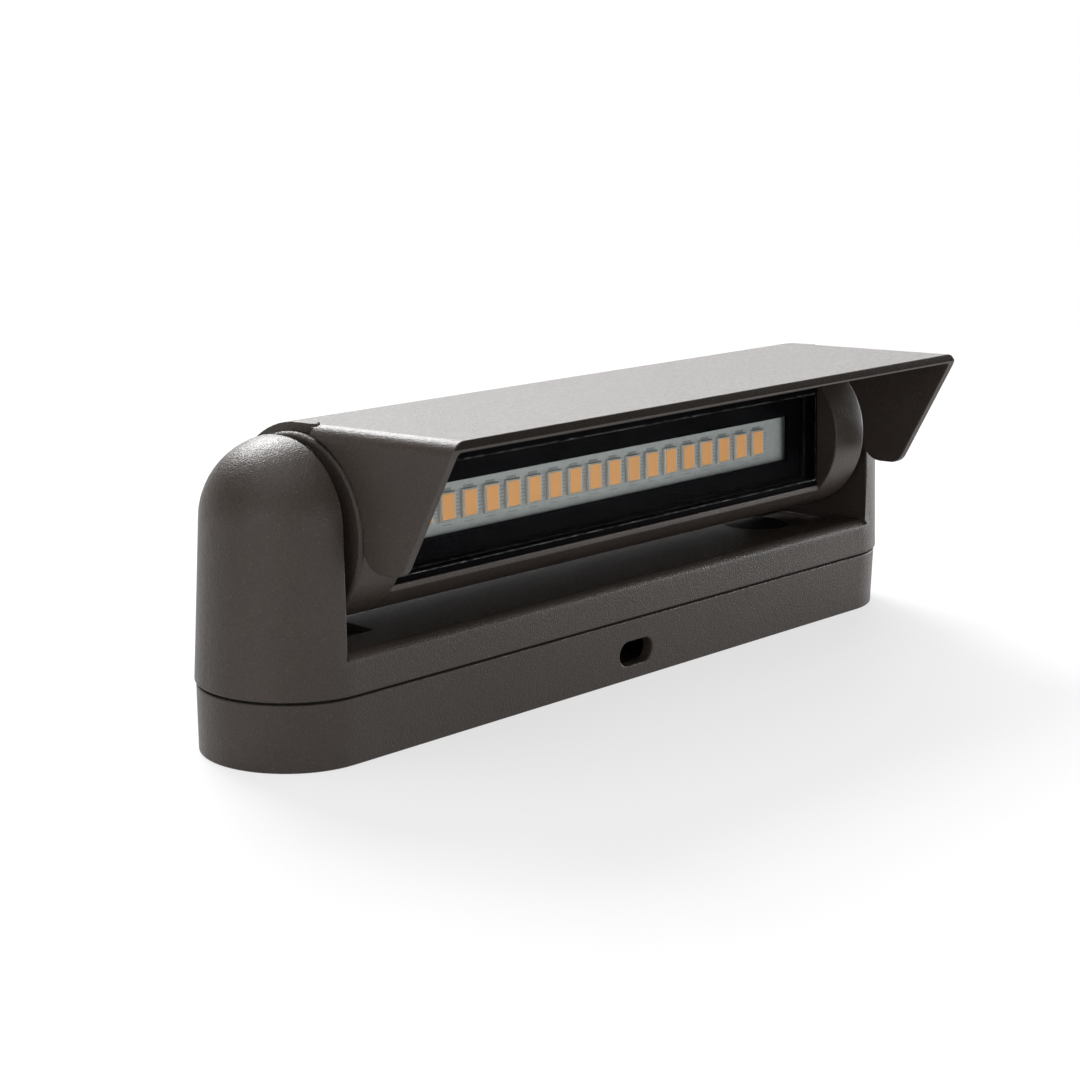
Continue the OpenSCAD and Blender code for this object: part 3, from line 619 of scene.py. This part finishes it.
# %% [markdown]
# ## Measuring the light sources
#
# What is added to the light row has to fit it exactly, so its sizes are measured and not typed
# again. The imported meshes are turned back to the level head, where every side of a box is at one
# place along its axis. The sorted places then give the count, the pitch and the sizes.


# %% Pitch and size of the light sources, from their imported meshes
def flanks(node, axis):
    """The positions of all side faces of a row of boxes along an axis of the head, in order."""
    to_level = TO_HEAD.inverted()
    places = [(to_level @ vertex.co)[axis] for vertex in frame["nodes"][node].data.vertices]
    return sorted({round(place, 5) for place in places})


across = flanks("led_phosphors", axis=0)
upward = flanks("led_phosphors", axis=2)
depths = flanks("led_packages", axis=1)
LED_COUNT = len(across) // 2
PITCH = (across[-2] - across[0]) / (LED_COUNT - 1)
FACE_WIDTH = across[1] - across[0]
FACE_HEIGHT = upward[-1] - upward[0]
RIM = across[0] - flanks("led_packages", axis=0)[0]
BOARD_FACE = depths[-1]
FRAME_DEPTH = depths[-1] - depths[0]
print("light sources:", LED_COUNT, "pitch mm:", round(PITCH / MM, 3), "rim mm:", round(RIM / MM, 3))
print("face mm:", round(FACE_WIDTH / MM, 3), "by", round(FACE_HEIGHT / MM, 3))
print("board face mm:", round(BOARD_FACE / MM, 3), "frame depth mm:", round(FRAME_DEPTH / MM, 3))

# %% [markdown]
# ## Light packages
#
# Each light source is a moulded frame round a shallow well, and the orange phosphor fills the well.
# The frame is drawn once as nested rectangles: up the outside, over a rounded rim and down into the
# well. The outside leans in a little, as a moulded part must to leave its mould. Instance on Points
# then puts one frame on each point of the row.


# %% One frame, then the row
def nested_rectangles(name, loops):
    """Closed skin over rectangles that share a centre, each as half width, half height and depth."""
    shape = bmesh.new()
    rings = [[shape.verts.new((x * half_width, depth, z * half_height))
              for x, z in ((-1, -1), (1, -1), (1, 1), (-1, 1))]
             for half_width, half_height, depth in loops]
    for inner, outer in zip(rings, rings[1:]):
        for i in range(4):
            shape.faces.new((inner[i], inner[i - 3], outer[i - 3], outer[i]))
    shape.faces.new(rings[0])
    shape.faces.new(rings[-1])
    bmesh.ops.recalc_face_normals(shape, faces=shape.faces)
    mesh = bpy.data.meshes.new(name)
    shape.to_mesh(mesh)
    shape.free()
    made = bpy.data.objects.new(name, mesh)
    bpy.context.scene.collection.objects.link(made)
    return made


def row_points(tree):
    """The middle of every light source, as the points of a line along X."""
    start = tree.maths("MULTIPLY", tree.maths("MULTIPLY", tree.size("Pitch"), -0.5),
                       tree.maths("SUBTRACT", tree.size("Count"), 1.0))
    return tree.node("GeometryNodeMeshLine", {"Count": tree.size("Count"),
                                              "Start Location": tree.spot(x=start),
                                              "Offset": tree.spot(x=tree.size("Pitch"))})


def light_frames():
    """The row of package frames, on the board."""
    well_x, well_z = FACE_WIDTH / 2, FACE_HEIGHT / 2
    lean, soft = 0.85 * RIM, 0.04 * MM
    front, back = BOARD_FACE - FRAME_DEPTH, BOARD_FACE
    frame_once = nested_rectangles("frame_once", [
        (well_x + RIM, well_z + RIM, back), (well_x + lean + soft, well_z + lean + soft, front + soft),
        (well_x + lean, well_z + lean, front), (well_x + soft, well_z + soft, front),
        (well_x, well_z, front + soft), (well_x - soft, well_z - soft, (front + back) / 2)])
    tree = Tree("light frames", Count=LED_COUNT, Pitch=PITCH)
    shape = tree.node("GeometryNodeObjectInfo", {"Object": frame_once}, outlet="Geometry")
    copies = tree.node("GeometryNodeInstanceOnPoints", {"Points": row_points(tree), "Instance": shape})
    frames = tree.to_mesh("light_frames", copies, package_pale)
    bpy.data.objects.remove(frame_once)
    frames.data.transform(TO_HEAD)
    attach(frames, "head")
    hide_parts("led_packages")
    return frames


pieces["light_frames"] = light_frames()

# %% [markdown]
# ## Marks on the light board
#
# Round each light source the board shows dull tinned marks: a wide pad above it, two thin lines
# below it, and a ladder of short dashes in the gap to its neighbour. They repeat at the pitch of the
# light sources, so a Geometry Nodes tree lays them out. Mesh Line makes the points, Instance on
# Points puts a thin plate on each, and the whole set is moved into the head's own tilted frame.
# Real plates a few hundredths thick catch the light as tin does, which paint on the board would not.

# %% Dull tin of the marks
tin = Finish("dull_tin", Metallic=0.3)
stain = ranged(tin, grain(tin, 0.4), 0, 1)
tin.feed("Base Color", blended(tin, stain, (0.17, 0.19, 0.19), (0.26, 0.28, 0.28)))
tin.feed("Roughness", ranged(tin, grain(tin, 0.3), 0.35, 0.5))
tin.feed("Normal", raised(tin, grain(tin, 0.15), 0.01))
print("made", tin.material.name)

# %% Lay out the marks
PAD_ABOVE = 2.95 * MM
LINES_BELOW = (2.75 * MM, 3.3 * MM)
LADDER_ASIDE = 3.0 * MM
LADDER_BELOW = 1.65 * MM
DASH_COUNT = 6
MARK_SINK = 0.01 * MM


def board_marks():
    """Pads, lines and ladders of dull tin on the face of the light board."""
    tree = Tree("board marks", Count=LED_COUNT, Pitch=PITCH, Thickness=0.03 * MM, Pad_Width=2.5 * MM,
                Pad_Height=0.5 * MM, Line_Height=0.14 * MM, Dash_Width=1.05 * MM, Dash_Step=0.66 * MM)
    row = row_points(tree)

    def plate(width, height):
        return tree.node("GeometryNodeMeshCube", {"Size": tree.spot(width, tree.size("Thickness"), height)})

    def on_row(thing, x=0.0, z=0.0):
        placed = tree.node("GeometryNodeTransform", {"Geometry": thing, "Translation": (x, 0, z)})
        return tree.node("GeometryNodeInstanceOnPoints", {"Points": row, "Instance": placed})

    pad = plate(tree.size("Pad_Width"), tree.size("Pad_Height"))
    line = plate(tree.size("Pad_Width"), tree.size("Line_Height"))
    dash = plate(tree.size("Dash_Width"), tree.size("Line_Height"))
    steps = tree.node("GeometryNodeMeshLine", {"Count": DASH_COUNT, "Start Location": (0, 0, -LADDER_BELOW),
                                               "Offset": tree.spot(z=tree.size("Dash_Step"))})
    dashes = tree.node("GeometryNodeInstanceOnPoints", {"Points": steps, "Instance": dash})
    ladder = tree.node("GeometryNodeRealizeInstances", {0: dashes})
    parts = [on_row(pad, z=PAD_ABOVE), *(on_row(line, z=-below) for below in LINES_BELOW),
             on_row(ladder, x=LADDER_ASIDE)]
    marks = tree.to_mesh("board_marks", tree.joined(parts), tin.material)
    marks.data.transform(TO_HEAD @ Matrix.Translation((0, BOARD_FACE - MARK_SINK, 0)))
    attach(marks, "head")
    return marks


pieces["board_marks"] = board_marks()

# %% [markdown]
# ## Winding of the inductor
#
# Under the cover the driver's inductor is a ferrite drum wound with lacquered wire. Nobody sees it
# until the lamp is opened, but then a smooth drum would look wrong. A spiral curve with one turn
# per wire width makes the layer, and Curve to Mesh gives the wire its round section. The spiral
# starts at its own foot, so it is moved down by half its height to sit round the drum's middle.

# %% Wind the wire on the drum
LAYER_RADIUS = 4.32 * MM
LAYER_HEIGHT = 4.3 * MM
WIRE_RADIUS = 0.17 * MM
WIRE_TURNS = 12.0


def inductor_winding():
    """One layer of copper wire round the ferrite drum."""
    low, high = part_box("driver_inductor")
    middle = (Vector(low) + Vector(high)) / 2
    tree = Tree("winding", Turns=WIRE_TURNS, Radius=LAYER_RADIUS, Height=LAYER_HEIGHT,
                Wire_Radius=WIRE_RADIUS)
    spiral = tree.node("GeometryNodeCurveSpiral", {
        "Resolution": 24, "Rotations": tree.size("Turns"), "Start Radius": tree.size("Radius"),
        "End Radius": tree.size("Radius"), "Height": tree.size("Height")})
    section = tree.node("GeometryNodeCurvePrimitiveCircle", {"Resolution": 8,
                                                             "Radius": tree.size("Wire_Radius")})
    wire = tree.node("GeometryNodeCurveToMesh", {"Curve": spiral, "Profile Curve": section,
                                                 "Fill Caps": True})
    wound = tree.to_mesh("inductor_winding", wire, copper)
    wound.data.transform(Matrix.Translation(middle - Vector((0, 0, LAYER_HEIGHT / 2))))
    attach(wound, BODY_OF["driver_inductor"])
    return wound


pieces["inductor_winding"] = inductor_winding()

# %% [markdown]
# ## Floor and wall
#
# The lamp was photographed on white in a soft studio. The floor is a pale matte disc that keeps the
# lamp's shadow and turns into plain white towards its rim, where a low white wall carries on. White
# could come from more light, but that would bleach the lamp. Here an Emission of strength 1 is mixed
# in for camera, glossy and transmission rays only, so the eye and the reflections see white while
# the lamp gets no light from it.


# %% White that the eye and reflections see
def backdrop_white(finish, share):
    """Mixes plain white in for camera, glossy and transmission rays only, by the given share."""
    white = finish.node("Emission", {"Color": (1, 1, 1, 1), "Strength": 1.0})
    path = finish.node("LightPath")
    seen = combined(finish, "MAXIMUM", path.outputs["Is Camera Ray"], path.outputs["Is Glossy Ray"])
    seen = combined(finish, "MAXIMUM", seen, path.outputs["Is Transmission Ray"])
    both = finish.node("MixShader", {0: combined(finish, "MULTIPLY", share, seen),
                                     1: finish.shader.outputs[0], 2: white.outputs[0]})
    finish.tree.links.new(both.outputs[0], finish.tree.nodes["Material Output"].inputs["Surface"])


def stage_piece(name, shape, material):
    """An object that is part of the studio and not of the lamp."""
    mesh = bpy.data.meshes.new(name)
    shape.to_mesh(mesh)
    shape.free()
    made = bpy.data.objects.new(name, mesh)
    bpy.context.scene.collection.objects.link(made)
    paint(made, material)
    print("stage piece:", name)
    return made


# %% Floor disc and the low wall round it
ROOM_RADIUS = 3.0
ROOM_SEGMENTS = 96
WALL_HEIGHT = 0.7
WALL_FADE_FROM = 0.18
FLOOR_FADE = (0.15, 0.6)
FLOOR_WHITE = (0.68, 1.0)


def pale_floor():
    """A disc that keeps the shadow and fades to plain white away from the lamp."""
    pale = Finish("pale_floor", Roughness=0.9, Specular_IOR_Level=0.1)
    pale.feed("Base Color", blended(pale, grain(pale, 30.0), (0.70, 0.70, 0.70), (0.72, 0.72, 0.72)))
    distance = pale.node("VectorMath", {0: pale.place}, operation="LENGTH").outputs["Value"]
    backdrop_white(pale, ranged(pale, distance, *FLOOR_WHITE, *FLOOR_FADE))
    shape = bmesh.new()
    bmesh.ops.create_circle(shape, cap_ends=True, radius=ROOM_RADIUS, segments=ROOM_SEGMENTS)
    return stage_piece("floor", shape, pale.material)


def low_wall():
    """A wall that is plain white at its foot and fades to its own pale colour at the top."""
    pale = Finish("pale_wall", Roughness=0.9, Specular_IOR_Level=0.1)
    pale.feed("Base Color", blended(pale, grain(pale, 30.0), (0.86, 0.86, 0.86), (0.88, 0.88, 0.88)))
    height = pale.node("SeparateXYZ", {0: pale.place}).outputs["Z"]
    backdrop_white(pale, ranged(pale, height, 1.0, 0.0, WALL_FADE_FROM, WALL_HEIGHT))
    shape = bmesh.new()
    bmesh.ops.create_cone(shape, radius1=ROOM_RADIUS, radius2=ROOM_RADIUS, depth=WALL_HEIGHT,
                          segments=ROOM_SEGMENTS)
    bmesh.ops.translate(shape, verts=shape.verts, vec=(0, 0, WALL_HEIGHT / 2))
    bmesh.ops.reverse_faces(shape, faces=shape.faces)
    return stage_piece("low_wall", shape, pale.material)


pale_floor()
low_wall()

# %% [markdown]
# ## The room's own light
#
# Above the wall the room is a plain grey. That matters for the coat: at a low angle the nearly flat
# hood mirrors the bright wall and looks pale, while the web under the lamp mirrors the greyer room
# above and stays dark.

# %% World
GREY_ROOM = 0.24
world = bpy.data.worlds.new("grey_room")
bpy.context.scene.world = world
world.use_nodes = True
world.node_tree.nodes["Background"].inputs["Color"].default_value = (1, 1, 1, 1)
world.node_tree.nodes["Background"].inputs["Strength"].default_value = GREY_ROOM
print("world:", world.name, "strength:", GREY_ROOM)

# %% [markdown]
# ## Soft boxes
#
# Two boxes high behind the lamp make the pale top of the hood and the bright spot on the left dome.
# A wide box above keeps the upper faces open. Three low fills light the front and both ends, and the
# one at the right is small and strong, for the bright right end of the base. Each lamp is given by
# how bright its face looks, because that is what shows in a reflection, and its energy follows from
# that and its size.


# %% Lamps round the object
def soft_box(name, place, aim_at, size, radiance):
    """An area lamp whose face shines as brightly as radiance times white."""
    lamp = bpy.data.lights.new(name, "AREA")
    lamp.shape = "RECTANGLE"
    lamp.size, lamp.size_y = size
    lamp.energy = radiance * math.pi * size[0] * size[1]
    made = bpy.data.objects.new(name, lamp)
    bpy.context.scene.collection.objects.link(made)
    made.location = place
    made.rotation_euler = (Vector(aim_at) - Vector(place)).to_track_quat("-Z", "Y").to_euler()
    made.visible_camera = False
    print(name, "energy:", round(lamp.energy, 2))


soft_box("back_box", (0.70, 0.84, 0.71), (0, 0, 0.05), size=(1.2, 0.6), radiance=6.5)
soft_box("dome_box", (0.28, 0.88, 0.92), (-0.08, 0, 0.05), size=(0.6, 0.5), radiance=18.0)
soft_box("top_box", (-0.35, 0.0, 1.1), (0, 0, 0.05), size=(1.2, 1.2), radiance=1.7)
soft_box("front_fill", (0.10, -1.30, 0.18), (0, 0, 0.04), size=(1.8, 0.4), radiance=1.7)
soft_box("left_fill", (-1.22, -0.30, 0.30), (0, 0, 0.05), size=(1.0, 0.6), radiance=1.6)
soft_box("right_fill", (0.96, -0.22, 0.10), (0.07, 0, 0.02), size=(0.5, 0.18), radiance=14.0)

# %% [markdown]
# ## Camera at the photograph's angle
#
# The fit to the photograph puts the camera at the front left, a little above the lamp and less than
# half a metre away, so the near post looks much larger than the far one. The camera is placed by its
# turn, its lift and its distance from a point in the lamp, with the small roll that the fit gave.

# %% Place the camera
CAMERA = {"azimuth": -48.331, "elevation": 12.554, "roll": 0.698, "distance": 0.43006, "lens": 76.77}
CAMERA_TARGET = Vector((-0.010553, 0.0, 0.025785))


def photo_camera():
    """Makes the scene's camera and returns its place."""
    turn, lift, roll = (math.radians(CAMERA[name]) for name in ("azimuth", "elevation", "roll"))
    back = Vector((math.sin(turn) * math.cos(lift), -math.cos(turn) * math.cos(lift), math.sin(lift)))
    level = Vector((math.cos(turn), math.sin(turn), 0))
    upright = back.cross(level)
    right = level * math.cos(roll) + upright * math.sin(roll)
    up = upright * math.cos(roll) - level * math.sin(roll)
    data = bpy.data.cameras.new("photo_camera")
    data.sensor_fit = "HORIZONTAL"
    data.sensor_width = 36
    data.lens = CAMERA["lens"]
    data.clip_start = 0.01
    camera = bpy.data.objects.new("photo_camera", data)
    bpy.context.scene.collection.objects.link(camera)
    place = CAMERA_TARGET + back * CAMERA["distance"]
    camera.matrix_world = Matrix.Translation(place) @ Matrix((right, up, back)).transposed().to_4x4()
    bpy.context.scene.camera = camera
    return place


print("camera at", [round(value, 4) for value in photo_camera()])
bpy.context.scene.view_settings.view_transform = "Standard"
